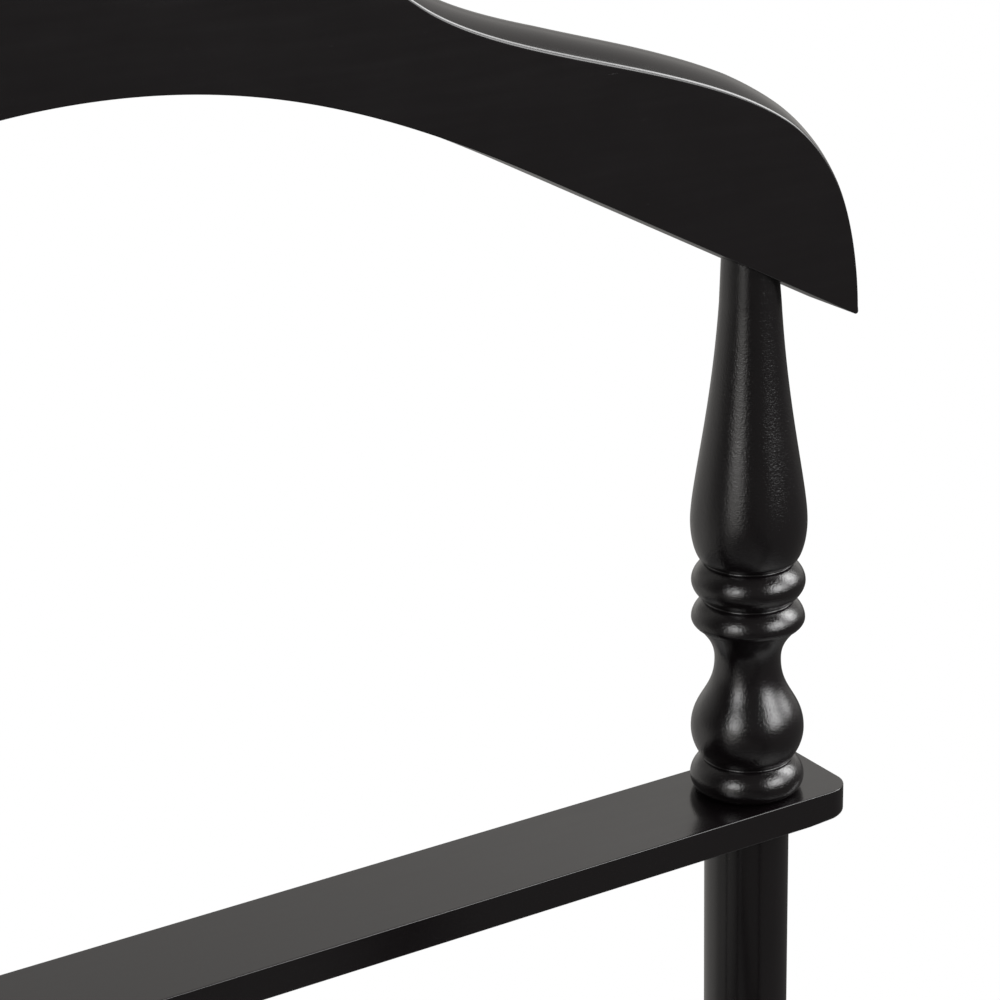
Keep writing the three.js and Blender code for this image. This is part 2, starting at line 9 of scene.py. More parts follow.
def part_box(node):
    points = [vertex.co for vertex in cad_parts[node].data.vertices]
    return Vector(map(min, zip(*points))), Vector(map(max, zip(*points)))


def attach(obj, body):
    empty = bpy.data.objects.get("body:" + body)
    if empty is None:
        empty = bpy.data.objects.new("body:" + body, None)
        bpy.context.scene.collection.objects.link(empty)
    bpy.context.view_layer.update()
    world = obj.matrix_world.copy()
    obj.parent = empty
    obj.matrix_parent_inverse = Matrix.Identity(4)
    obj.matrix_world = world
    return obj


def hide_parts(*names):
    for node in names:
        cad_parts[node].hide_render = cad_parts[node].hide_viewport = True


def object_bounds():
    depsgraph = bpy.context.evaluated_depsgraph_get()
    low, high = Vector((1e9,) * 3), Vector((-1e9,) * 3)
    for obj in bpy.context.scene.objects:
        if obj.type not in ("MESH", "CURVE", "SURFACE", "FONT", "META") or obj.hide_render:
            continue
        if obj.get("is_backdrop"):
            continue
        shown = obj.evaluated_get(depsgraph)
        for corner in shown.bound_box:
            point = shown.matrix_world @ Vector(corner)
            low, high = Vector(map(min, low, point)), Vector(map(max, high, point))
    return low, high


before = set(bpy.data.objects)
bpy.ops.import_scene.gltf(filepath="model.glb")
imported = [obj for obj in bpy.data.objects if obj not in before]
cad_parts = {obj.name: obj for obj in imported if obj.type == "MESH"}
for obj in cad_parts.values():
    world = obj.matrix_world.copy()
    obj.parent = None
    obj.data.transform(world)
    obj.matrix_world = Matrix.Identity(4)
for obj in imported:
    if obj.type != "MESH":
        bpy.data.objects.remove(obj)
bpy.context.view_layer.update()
mm = 0.001


# Glides
# Four black nylon discs under the ends of the sled feet, each with a pin pressed up into the
# wood. They are moulded, with a small round between the sole and the side.

def plug(tree, made, inputs):
    """Sets a node's inputs. Each is another node's output, or a constant."""
    for name, value in inputs.items():
        socket = made.inputs[name]
        if isinstance(value, bpy.types.NodeSocket):
            tree.links.new(value, socket)
        else:
            socket.default_value = value


def node(tree, kind, inputs=None, **settings):
    """Adds a node with these settings and inputs."""
    made = tree.nodes.new(kind)
    for name, value in settings.items():
        setattr(made, name, value)
    plug(tree, made, inputs or {})
    return made


def maths(tree, operation, *values):
    """The result of a Math node."""
    return node(tree, "ShaderNodeMath", dict(enumerate(values)), operation=operation).outputs[0]


def ranged(tree, value, old, new, rise="LINEAR"):
    """The value carried over from the old range to the new one, which it doesn't leave."""
    return node(tree, "ShaderNodeMapRange",
                {"Value": value, "From Min": old[0], "From Max": old[1],
                 "To Min": new[0], "To Max": new[1]}, interpolation_type=rise).outputs["Result"]


def noise(tree, place, scale, detail, roughness=0.5):
    """A noise texture's brightness at this place."""
    return node(tree, "ShaderNodeTexNoise",
                {"Vector": place, "Scale": scale, "Detail": detail,
                 "Roughness": roughness}).outputs["Fac"]


def blend(tree, factor, a, b):
    """A colour between a and b."""
    return node(tree, "ShaderNodeMix", {"Factor": factor, "A": a, "B": b},
                data_type="RGBA").outputs["Result"]


def bumped(tree, height, strength, distance):
    """The normal of a surface with this relief."""
    return node(tree, "ShaderNodeBump",
                {"Height": height, "Strength": strength,
                 "Distance": distance}).outputs["Normal"]


def new_object(name, points, edges, faces):
    mesh = bpy.data.meshes.new(name)
    mesh.from_pydata([tuple(p) for p in points], edges, faces)
    mesh.update()
    obj = bpy.data.objects.new(name, mesh)
    bpy.context.scene.collection.objects.link(obj)
    return obj


def plain(obj):
    """Turns what the modifiers make of obj into its own mesh."""
    graph = bpy.context.evaluated_depsgraph_get()
    mesh = bpy.data.meshes.new_from_object(
        obj.evaluated_get(graph), preserve_all_data_layers=True, depsgraph=graph
    )
    obj.modifiers.clear()
    worn = obj.data
    obj.data = mesh
    mesh.name = obj.name
    bpy.data.meshes.remove(worn)


def grown(obj, tree, **sizes):
    """Runs a Geometry Nodes tree on obj with these sizes and keeps the result as its mesh."""
    modifier = obj.modifiers.new(tree.name, "NODES")
    modifier.node_group = tree
    for item in tree.interface.items_tree:
        if item.name in sizes:
            modifier[item.identifier] = sizes[item.name]
    plain(obj)


def settled(obj, crease=35):
    """Smooth shading that keeps wide flat faces flat and sharp edges sharp."""
    obj.data.shade_smooth()
    obj.data.set_sharp_from_angle(angle=math.radians(crease))
    modifier = obj.modifiers.new("Shading", "WEIGHTED_NORMAL")
    modifier.keep_sharp = True
    plain(obj)


def fitted(obj, material, slot, *nodes):
    """Gives obj its finish and hands it to the frame in place of these CAD nodes."""
    obj.data.materials.clear()
    obj.data.materials.append(material)
    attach(obj, "root")
    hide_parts(*nodes)


def tree_with(name, sockets):
    """A Geometry Nodes tree with these named inputs, and its input and output nodes."""
    tree = bpy.data.node_groups.new(name, "GeometryNodeTree")
    for label, kind in sockets.items():
        tree.interface.new_socket(label, in_out="INPUT", socket_type="NodeSocket" + kind)
    tree.interface.new_socket("Result", in_out="OUTPUT", socket_type="NodeSocketGeometry")
    return tree, node(tree, "NodeGroupInput").outputs, node(tree, "NodeGroupOutput").inputs


turned_inputs = {"Profile": "Geometry", "Sides": "Int", "Centre": "Float", "Material": "Material"}
corner_inputs = {"Across": "Float", "Along": "Float", "Turn behind": "Float",
                 "Turn left": "Float"}


def turning(tree, given):
    """Sweeps the profile round the Z axis, on a circle of radius Centre, and welds its poles."""
    line = node(tree, "GeometryNodeMeshToCurve", {"Mesh": given["Profile"]})
    circle = node(tree, "GeometryNodeCurvePrimitiveCircle",
                  {"Resolution": given["Sides"], "Radius": given["Centre"]}, mode="RADIUS")
    sweep = node(tree, "GeometryNodeCurveToMesh",
                 {"Curve": circle.outputs[0], "Profile Curve": line.outputs[0]})
    weld = node(tree, "GeometryNodeMergeByDistance",
                {"Geometry": sweep.outputs[0], "Distance": 0.001 * mm})
    return node(tree, "GeometryNodeFlipFaces", {"Mesh": weld.outputs[0]}).outputs[0]


def profile_line(name, profile, centre):
    """The profile, as radius and height, laid out for turning on a circle of radius centre."""
    points = [(radius - centre, -height, 0) for radius, height in profile]
    return new_object(name, points, [(i, i + 1) for i in range(len(points) - 1)], [])


def finished(tree, shape, given, result):
    """Ends a tree: its copies are made real and get their finish."""
    real = node(tree, "GeometryNodeRealizeInstances", {"Geometry": shape})
    coated = node(tree, "GeometryNodeSetMaterial",
                  {"Geometry": real.outputs[0], "Material": given["Material"]})
    tree.links.new(coated.outputs[0], result[0])


def four_of_a_kind(tree, shape, given, result):
    """Stands a copy of shape at each corner of a rectangle, the far and left ones turned about."""
    corners = node(tree, "GeometryNodeMeshGrid",
                   {"Size X": given["Across"], "Size Y": given["Along"],
                    "Vertices X": 2, "Vertices Y": 2})
    place = node(tree, "GeometryNodeInputPosition")
    parts = node(tree, "ShaderNodeSeparateXYZ", {"Vector": place.outputs[0]})
    behind = maths(tree, "GREATER_THAN", parts.outputs["Y"], 0.0)
    left = maths(tree, "LESS_THAN", parts.outputs["X"], 0.0)
    turn_left = maths(tree, "MULTIPLY", left, given["Turn left"])
    turn = maths(tree, "MULTIPLY_ADD", behind, given["Turn behind"], turn_left)
    spin = node(tree, "ShaderNodeCombineXYZ", {"Z": turn})
    copies = node(tree, "GeometryNodeInstanceOnPoints",
                  {"Points": corners.outputs[0], "Instance": shape,
                   "Rotation": spin.outputs[0]})
    finished(tree, copies.outputs[0], given, result)


def new_material(name):
    """A material, its tree and its main shader."""
    material = bpy.data.materials.new(name)
    material.use_nodes = True
    return material, material.node_tree, material.node_tree.nodes["Principled BSDF"]


def moulded_nylon():
    """Black nylon with the faint, even grain of a spark-eroded mould."""
    material, tree, shader = new_material("moulded_nylon")
    place = node(tree, "ShaderNodeTexCoord").outputs["Object"]
    grain = noise(tree, place, 2200.0, 3.0)
    cloud = noise(tree, place, 90.0, 2.0)
    plug(tree, shader, {
        "Base Color": blend(tree, cloud, (0.012, 0.012, 0.012, 1), (0.022, 0.021, 0.021, 1)),
        "Roughness": ranged(tree, cloud, (0.0, 1.0), (0.48, 0.62)),
        "Normal": bumped(tree, grain, 0.5, 0.04 * mm)})
    return material


post_spacing = 404 * mm
glide_radius = 12 * mm
glide_edge = 1.5 * mm
glide_chamfer = 0.3 * mm
glide_pin_radius = 2.5 * mm
glide_pin_taper = 0.8 * mm
glide_pin_tip = 1 * mm
glide_low, glide_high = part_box("rear_left_glide")
glide_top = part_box("left_sled_foot")[0].z
centre_circle = 100 * mm
corner_names = [f"{side}_{hand}" for side in ("front", "rear") for hand in ("left", "right")]

glide_tree, given, result = tree_with("Four glides", turned_inputs | corner_inputs)
four_of_a_kind(glide_tree, turning(glide_tree, given), given, result)

arc = [math.radians(a) for a in range(0, 91, 15)]
glide_profile = [(0, 0)]
glide_profile += [(glide_radius - glide_edge * (1 - math.sin(a)),
                   glide_edge * (1 - math.cos(a))) for a in arc]
glide_profile += [
    (glide_radius, glide_top - glide_chamfer),
    (glide_radius - glide_chamfer, glide_top),
    (glide_pin_radius, glide_top),
    (glide_pin_radius, glide_high.z - glide_pin_tip),
    (glide_pin_radius - glide_pin_taper, glide_high.z),
    (0, glide_high.z),
]
glides = profile_line("glides", glide_profile, centre_circle)
nylon = moulded_nylon()
grown(glides, glide_tree, Sides=64, Centre=centre_circle, Material=nylon, Across=post_spacing,
      Along=abs(glide_low.y + glide_high.y))
settled(glides)
fitted(glides, nylon, "black_nylon", *[f"{corner}_glide" for corner in corner_names])


# Sled feet
# Two solid wooden runners, one under each pair of posts, bandsawn to a side outline with low
# toes, a level seat for each post and a shallow arch below, then rounded over and lacquered.

def bezier(a, b, c, d, count):
    """Points on a cubic curve, without its first one."""
    a, b, c, d = (np.array(p, float) for p in (a, b, c, d))
    t = np.linspace(0, 1, count + 1)[1:, None]
    return list(a * (1 - t) ** 3 + 3 * b * t * (1 - t) ** 2 + 3 * c * t * t * (1 - t) + d * t ** 3)


def inward_normals(outline):
    """For each point of a closed, anticlockwise outline, the step that insets it by one."""
    outline = np.array(outline)
    ahead = np.roll(outline, -1, axis=0) - outline
    ahead /= np.linalg.norm(ahead, axis=1)[:, None]
    left = np.stack([-ahead[:, 1], ahead[:, 0]], axis=1)
    before = np.roll(left, 1, axis=0)
    middle = left + before
    middle /= np.linalg.norm(middle, axis=1)[:, None]
    return middle / np.maximum(0.5, (middle * left).sum(axis=1))[:, None]


def eased_depths(thickness, ease, steps, rim=0.0):
    """Depths through a board, and how far its rounded edge is drawn in at each of them. A rim
    adds a flat ring round the face, so that the face is shaded flat right up to the edge."""
    half = thickness / 2
    turn = np.linspace(0, math.pi / 2, steps + 1)
    front = [(-half, ease + rim)] if rim else []
    front += [(-half + ease * (1 - math.cos(a)), ease * (1 - math.sin(a))) for a in turn]
    return front + [(-depth, drawn) for depth, drawn in reversed(front)]


def board(name, outline, depths, crown=None):
    """A board from an outline, with one ring of points at each depth; crown lifts each ring."""
    outline = np.array(outline)
    inward = inward_normals(outline)
    count = len(outline)
    points = []
    for depth, drawn in depths:
        shift = np.full(count, drawn) if crown is None else drawn - crown(depth)
        ring = outline + inward * shift[:, None]
        points += [(x, depth, z) for x, z in ring]
    faces = []
    for ring in range(len(depths) - 1):
        for i in range(count):
            j = (i + 1) % count
            a, b = ring * count + i, ring * count + j
            faces.append((a, a + count, b + count, b))
    flat = [Vector((x, z, 0)) for x, _, z in points[:count]]
    last = (len(depths) - 1) * count
    for a, b, c in tessellate_polygon([flat]):
        upright = (flat[b] - flat[a]).cross(flat[c] - flat[a]).z > 0
        faces.append((a, b, c) if upright else (a, c, b))
        faces.append((last + a, last + c, last + b) if upright else (last + a, last + b, last + c))
    return new_object(name, points, [], faces)


def rod_between(start, end, diameter, sides=48):
    """A plain round cutter from one point to another, both on a line along one axis."""
    start, end = np.array(start, float), np.array(end, float)
    along = (end - start) / np.linalg.norm(end - start)
    side = np.roll(np.abs(along), 1)
    other = np.cross(along, side)
    angles = np.linspace(0, 2 * math.pi, sides, endpoint=False)
    rim = [diameter / 2 * (math.cos(a) * side + math.sin(a) * other) for a in angles]
    points = [start + r for r in rim] + [end + r for r in rim]
    faces = [(i, (i + 1) % sides, sides + (i + 1) % sides, sides + i) for i in range(sides)]
    faces += [tuple(reversed(range(sides))), tuple(range(sides, 2 * sides))]
    return new_object("cutter", points, [], faces)


def bored(obj, *cutters):
    """Takes each cutter out of obj."""
    for cutter in cutters:
        modifier = obj.modifiers.new("Bore", "BOOLEAN")
        modifier.operation = "DIFFERENCE"
        modifier.solver = "EXACT"
        modifier.object = cutter
        plain(obj)
        bpy.data.objects.remove(cutter)


def turned_about(obj, quarter_turns, shift=(0, 0, 0)):
    """Turns obj's mesh by quarter turns about Z, then moves it."""
    turn = Matrix.Rotation(quarter_turns * math.pi / 2, 4, "Z")
    obj.data.transform(Matrix.Translation(shift) @ turn)


def film_relief(tree, place, drawn_out, streak, lathe):
    """The lacquer's fine relief: pores along the grain, orange peel, and rings where turned."""
    fibre = noise(tree, drawn_out, 1500.0, 4.0, 0.6)
    pore = ranged(tree, fibre, (0.68, 0.8), (0.0, -0.35))
    peel = noise(tree, place, 1500.0, 2.0, 0.7)
    cells = node(tree, "ShaderNodeTexVoronoi", {"Vector": place, "Scale": 1400.0}, feature="F1")
    nib = ranged(tree, cells.outputs["Distance"], (0.08, 0.42), (0.4 if lathe else 0.05, 0.0),
                 "SMOOTHSTEP")
    height = maths(tree, "MULTIPLY_ADD", streak, 0.3, pore)
    height = maths(tree, "MULTIPLY_ADD", peel, 2.0 if lathe else 0.25, height)
    height = maths(tree, "ADD", nib, height)
    if lathe:
        rings = node(tree, "ShaderNodeTexWave",
                     {"Vector": place, "Scale": 520.0, "Distortion": 7.0, "Detail": 3.0,
                      "Detail Scale": 2.0, "Detail Roughness": 0.7},
                     wave_type="BANDS", bands_direction="Z", wave_profile="SIN")
        height = maths(tree, "MULTIPLY_ADD", rings.outputs["Fac"], 0.15, height)
    return bumped(tree, height, 1.0, 0.04 * mm)


def film_colour(tree, place, cloud):
    """Black that varies a little, with a few specks of dust caught in the film."""
    cells = node(tree, "ShaderNodeTexVoronoi", {"Vector": place, "Scale": 120.0}, feature="F1")
    dot = ranged(tree, cells.outputs["Distance"], (0.02, 0.045), (1.0, 0.0))
    pick = node(tree, "ShaderNodeSeparateColor", {"Color": cells.outputs["Color"]})
    rare = maths(tree, "GREATER_THAN", pick.outputs[0], 0.86)
    dust = maths(tree, "MULTIPLY", dot, rare)
    black = blend(tree, cloud, (0.0056, 0.0041, 0.0049, 1), (0.0074, 0.0055, 0.0064, 1))
    return blend(tree, dust, black, (0.05, 0.045, 0.04, 1))


def satin_lacquer(name, grain, lathe=False):
    """Black satin lacquer over fine-grained wood. grain is the axis that the fibres follow."""
    material, tree, shader = new_material(name)
    place = node(tree, "ShaderNodeTexCoord").outputs["Object"]
    along = {"X": (0.07, 1, 1), "Y": (1, 0.07, 1), "Z": (1, 1, 0.07)}[grain]
    drawn_out = node(tree, "ShaderNodeMapping", {"Vector": place, "Scale": along}).outputs[0]
    streak = noise(tree, drawn_out, 420.0, 3.0)
    cloud = noise(tree, place, 38.0, 3.0, 0.6)
    # The gloss is a little lower in some patches and along some fibres.
    patchy = maths(tree, "MULTIPLY", cloud, 0.5)
    dulled = maths(tree, "MULTIPLY_ADD", streak, 0.5, patchy)
    plug(tree, shader, {
        "Base Color": film_colour(tree, place, cloud),
        "Roughness": ranged(tree, dulled, (0.3, 0.7), (0.14, 0.2)),
        "Normal": film_relief(tree, place, drawn_out, streak, lathe),
        "IOR": 1.8})
    return material


foot_low, foot_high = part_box("left_sled_foot")
foot_width = foot_high.x - foot_low.x
foot_x = (foot_low.x + foot_high.x) / 2
foot_base = foot_low.z
foot_round = 2 * mm
foot_rim = 1 * mm
frame_spacing = 250 * mm
post_y = frame_spacing / 2
clearance = 0.3 * mm
bolt_bore = 8.6 * mm
counterbore = 15.6 * mm
counterbore_depth = 24.3 * mm
glide_y = 183 * mm
glide_pin_bore = 5.6 * mm
bar_socket_bore = 16.6 * mm
bar_socket_floor = 12 * mm
beyond_foot = 80 * mm
# Half of the side view, in millimetres from the middle and up from the sole, from the arch
# below round the toe and over the seat of the post. A curve ends at its third point.
foot_half = [
    ("line", (133, 18)),
    ("curve", (148, 18), (148, 0), (163, 0)),
    ("line", (203, 0)),
    ("curve", (207.2, 0), (210, 2.8), (210, 7)),
    ("curve", (210, 18), (206, 22), (199.5, 23)),
    ("curve", (175.5, 26), (168, 62), (146, 62)),
    ("line", (104, 62)),
    ("curve", (84, 62), (84, 54), (64, 54)),
    ("line", (0, 54)),
]
lacquer_along_y = satin_lacquer("satin_lacquer_grain_front_to_back", "Y")


def foot_outline():
    at = np.array((0.0, 18.0))
    half = [at]
    for kind, *stations in foot_half:
        end = np.array(stations[-1], float)
        if kind == "line":
            steps = max(2, int(np.linalg.norm(end - at) / 6))
            half += list(at + (end - at) * t for t in np.linspace(0, 1, steps + 1)[1:])
        else:
            half += bezier(at, *stations, 18)
        at = end
    back = [np.array((-p[0], p[1])) for p in half[-2:0:-1]]
    return np.array(half + back) * mm


shoe_bar_boxes = [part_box(f"shoe_bar_{i}") for i in range(1, 5)]
for hand, sign in (("left", -1), ("right", 1)):
    foot = board(f"{hand}_sled_foot_wood", foot_outline(),
                 eased_depths(foot_width, foot_round, 6, foot_rim))
    turned_about(foot, 1, (0, 0, foot_base))
    cutters = []
    for y in (-post_y, post_y):
        cutters.append(rod_between((0, y, 0), (0, y, beyond_foot), bolt_bore))
        cutters.append(rod_between((0, y, 0), (0, y, foot_base + counterbore_depth), counterbore))
    for y in (-glide_y, glide_y):
        cutters.append(rod_between((0, y, 0), (0, y, glide_high.z + clearance), glide_pin_bore))
    for low, high in shoe_bar_boxes:
        y, z = (low.y + high.y) / 2, (low.z + high.z) / 2
        inner = -sign * foot_width / 2
        depth = inner + sign * bar_socket_floor
        cutters.append(rod_between((depth, y, z), (2 * inner, y, z), bar_socket_bore))
    bored(foot, *cutters)
    turned_about(foot, 0, (sign * abs(foot_x), 0, 0))
    settled(foot)
    fitted(foot, lacquer_along_y, "black_lacquer", f"{hand}_sled_foot")


# Base bolts
# Four zinc-plated cap bolts come up through the sled feet into a threaded insert in each post.
# Their heads sit in counterbores in the sole and have a hexagon socket.

def plated_steel():
    """Bright zinc plate: a faint blue-yellow cloud and fine scratches."""
    material, tree, shader = new_material("zinc_plated_steel")
    place = node(tree, "ShaderNodeTexCoord").outputs["Object"]
    cloud = noise(tree, place, 240.0, 3.0)
    scratch = noise(tree, place, 2600.0, 4.0)
    plug(tree, shader, {
        "Base Color": blend(tree, cloud, (0.50, 0.52, 0.54, 1), (0.62, 0.61, 0.57, 1)),
        "Roughness": ranged(tree, scratch, (0.0, 1.0), (0.26, 0.46)),
        "Normal": bumped(tree, scratch, 0.4, 0.02 * mm),
        "Metallic": 1.0})
    return material


def socket_tree(name):
    """Turned bolts at four corners, each with a six-sided key socket sunk in its lower end."""
    tree, given, result = tree_with(name, turned_inputs | corner_inputs | {
        "Key width": "Float", "Key depth": "Float", "Tilt": "Float"})
    shape = turning(tree, given)
    reach = maths(tree, "MULTIPLY", given["Key depth"], 2.0)
    radius = maths(tree, "DIVIDE", given["Key width"], math.sqrt(3))
    key = node(tree, "GeometryNodeMeshCylinder",
               {"Vertices": 6, "Radius": radius, "Depth": reach})
    sunk = node(tree, "GeometryNodeMeshBoolean", {"Mesh 1": shape, "Mesh 2": key.outputs["Mesh"]},
                operation="DIFFERENCE", solver="EXACT")
    tilt = node(tree, "ShaderNodeCombineXYZ", {"X": given["Tilt"]})
    laid = node(tree, "GeometryNodeTransform",
                {"Geometry": sunk.outputs["Mesh"], "Rotation": tilt.outputs[0]})
    four_of_a_kind(tree, laid.outputs[0], given, result)
    return tree


def bolt_profile(radius, length, head_radius, head_height, chamfer=0.5 * mm):
    """Half of a bolt's section, from the head's face at zero up to the tip."""
    return [
        (0, 0),
        (head_radius - chamfer, 0),
        (head_radius, chamfer),
        (head_radius, head_height),
        (radius, head_height),
        (radius, length - chamfer),
        (radius - chamfer, length),
        (0, length),
    ]


steel = plated_steel()
bolts = socket_tree("Four socket bolts")
base_low, base_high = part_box("rear_left_base_bolt")
base_bolts = profile_line("base_bolts", bolt_profile(
    radius=4 * mm, length=base_high.z - base_low.z, head_radius=7.5 * mm, head_height=4 * mm),
    centre_circle)
grown(base_bolts, bolts, Sides=48, Centre=centre_circle, Across=post_spacing,
      Along=frame_spacing, Material=steel, **{"Key width": 5 * mm, "Key depth": 2.4 * mm})
turned_about(base_bolts, 0, (0, 0, base_low.z))
settled(base_bolts)
fitted(base_bolts, steel, "zinc_steel", *[f"{corner}_base_bolt" for corner in corner_names])


# Shoe bars
# Four plain dowels between the sled feet, glued into blind sockets, on which shoes stand.
# The dowels are machined round and their ends are chamfered before they go in.

def dowel_profile(radius, half_length, chamfer):
    """Half of the section of a dowel with chamfered ends, from end to end."""
    return [
        (0, -half_length),
        (radius - chamfer, -half_length),
        (radius, chamfer - half_length),
        (radius, half_length - chamfer),
        (radius - chamfer, half_length),
        (0, half_length),
    ]


bar_tree, given, result = tree_with("Row of dowels", turned_inputs | {
    "Count": "Int", "First": "Float", "Pitch": "Float", "Height": "Float"})
across = node(bar_tree, "GeometryNodeTransform",
              {"Geometry": turning(bar_tree, given), "Rotation": (0, math.pi / 2, 0)})
first = node(bar_tree, "ShaderNodeCombineXYZ", {"Y": given["First"], "Z": given["Height"]})
pitch = node(bar_tree, "ShaderNodeCombineXYZ", {"Y": given["Pitch"]})
row = node(bar_tree, "GeometryNodeMeshLine",
           {"Count": given["Count"], "Start Location": first.outputs[0],
            "Offset": pitch.outputs[0]}, mode="OFFSET")
bars = node(bar_tree, "GeometryNodeInstanceOnPoints",
            {"Points": row.outputs[0], "Instance": across.outputs[0]})
finished(bar_tree, bars.outputs[0], given, result)

bar_low, bar_high = shoe_bar_boxes[0]
bar_radius = 8 * mm
bar_chamfer = 1 * mm
lacquer_along_x = satin_lacquer("satin_lacquer_grain_left_to_right", "X")
shoe_bars = profile_line("shoe_bars", dowel_profile(
    bar_radius, (bar_high.x - bar_low.x) / 2, bar_chamfer), centre_circle)
bar_ys = [(low.y + high.y) / 2 for low, high in shoe_bar_boxes]
grown(shoe_bars, bar_tree, Sides=72, Centre=centre_circle, Count=4, First=bar_ys[0],
      Pitch=bar_ys[1] - bar_ys[0], Height=(bar_low.z + bar_high.z) / 2,
      Material=lacquer_along_x)
settled(shoe_bars)
fitted(shoe_bars, lacquer_along_x, "black_lacquer", *[f"shoe_bar_{i}" for i in range(1, 5)])


# Posts
# Four plain 25.4 mm dowels stand on the sled feet. Each is bored at both ends for a threaded
# insert, and across at tray height, with a counterbore for the bolt that holds the bearer.

lathe_tree, given, result = tree_with("Turned on the lathe", turned_inputs)
finished(lathe_tree, turning(lathe_tree, given), given, result)

post_radius = 12.7 * mm
post_ease = 0.4 * mm
insert_bore = 6.3 * mm
insert_depth = 16 * mm
cross_bore = 6.6 * mm
bolt_head_bore = 11.6 * mm
bolt_head_seat = 8.4 * mm
beyond_post = 30 * mm
bearer_low, bearer_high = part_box("left_tray_bearer")
cross_height = (bearer_low.z + bearer_high.z) / 2
lacquer_along_z = satin_lacquer("satin_lacquer_grain_upright", "Z")


def post_profile(low, high):
    foot = [(0, low + insert_depth), (insert_bore, low + insert_depth), (insert_bore, low),
            (post_radius - post_ease, low), (post_radius, low + post_ease)]
    top = [(post_radius, high - post_ease), (post_radius - post_ease, high),
           (insert_bore, high), (insert_bore, high - insert_depth), (0, high - insert_depth)]
    return foot + top


for side, facing in (("front", -1), ("rear", 1)):
    for hand in ("left", "right"):
        low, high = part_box(f"{side}_{hand}_post")
        post = profile_line(f"{side}_{hand}_post_wood", post_profile(low.z, high.z), centre_circle)
        grown(post, lathe_tree, Sides=112, Centre=centre_circle, Material=lacquer_along_z)
        seat, far = facing * bolt_head_seat, facing * beyond_post
        bored(
            post,
            rod_between((0, -far, cross_height), (0, far, cross_height), cross_bore),
            rod_between((0, seat, cross_height), (0, far, cross_height), bolt_head_bore),
        )
        turned_about(post, 0, ((low.x + high.x) / 2, (low.y + high.y) / 2, 0))
        settled(post)
        fitted(post, lacquer_along_z, "black_lacquer", f"{side}_{hand}_post")


# Bearers
# Two strips of wood run from the front post to the rear post on each side and carry the tray.
# Their ends are coped round the posts. A cross-drilled barrel nut takes each bolt.

bearer_depth = bearer_high.y - bearer_low.y
bearer_width = bearer_high.x - bearer_low.x
half_height = (bearer_high.z - bearer_low.z) / 2
half_width = bearer_width / 2
half_depth = bearer_depth / 2
bearer_ease = 1 * mm
beyond_bearer = 40 * mm
beyond_board = 20 * mm
cope_bore = 26 * mm
bolt_tip_y = 76.3 * mm
barrel_y = 84.3 * mm
barrel_bore = 10.6 * mm
barrel_bore_floor = 7.3 * mm
screw_y = 55 * mm
screw_bore = 5.1 * mm
screw_head_bore = 9.6 * mm
screw_head_depth = 8.3 * mm


def strip(half_length, half_tall, ease):
    """A rectangular outline with small round corners, for board()."""
    points = []
    for cx, cz, start in ((1, -1, -90), (1, 1, 0), (-1, 1, 90), (-1, -1, 180)):
        for degrees in range(start, start + 91, 18):
            a = math.radians(degrees)
            points.append((cx * (half_length - ease) + ease * math.cos(a),
                           cz * (half_tall - ease) + ease * math.sin(a)))
    return points


for hand, sign in (("left", -1), ("right", 1)):
    bearer = board(f"{hand}_tray_bearer_wood", strip(half_depth, half_height, bearer_ease),
                   eased_depths(bearer_width, bearer_ease, 5))
    turned_about(bearer, 1)
    cutters = []
    for y_sign in (-1, 1):
        y = y_sign * post_y
        cutters.append(rod_between((0, y, -beyond_bearer), (0, y, beyond_bearer), cope_bore, 112))
        cutters.append(rod_between((0, y_sign * bolt_tip_y, 0), (0, y, 0), cross_bore))
        y = y_sign * barrel_y
        cutters.append(rod_between((sign * barrel_bore_floor, y, 0),
                                   (-sign * beyond_board, y, 0), barrel_bore))
        y = y_sign * screw_y
        cutters.append(rod_between((0, y, -beyond_bearer), (0, y, beyond_bearer), screw_bore))
        cutters.append(rod_between((0, y, -beyond_bearer), (0, y, screw_head_depth - half_height),
                                   screw_head_bore))
    bored(bearer, *cutters)
    turned_about(bearer, 0, (sign * abs(bearer_low.x + half_width), 0, cross_height))
    settled(bearer)
    fitted(bearer, lacquer_along_y, "black_lacquer", f"{hand}_tray_bearer")


# Bearer bolts, barrel nuts and tray screws
# A plated socket bolt goes through each post into the barrel nut in the bearer behind it, and
# a socket screw with a flat-bottomed head comes up through the bearer near each tray corner.

bolt_low, bolt_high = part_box("front_left_bearer_bolt")
bearer_bolts = profile_line("bearer_bolts", bolt_profile(
    radius=3 * mm, length=bolt_high.y - bolt_low.y, head_radius=5.5 * mm,
    head_height=3.5 * mm), centre_circle)
grown(bearer_bolts, bolts, Sides=48, Centre=centre_circle, Tilt=-math.pi / 2, Material=steel,
      Across=post_spacing, Along=-2 * bolt_low.y,
      **{"Key width": 4 * mm, "Key depth": 2.2 * mm, "Turn behind": math.pi})
turned_about(bearer_bolts, 0, (0, 0, cross_height))
settled(bearer_bolts)
fitted(bearer_bolts, steel, "zinc_steel", *[f"{corner}_bearer_bolt" for corner in corner_names])

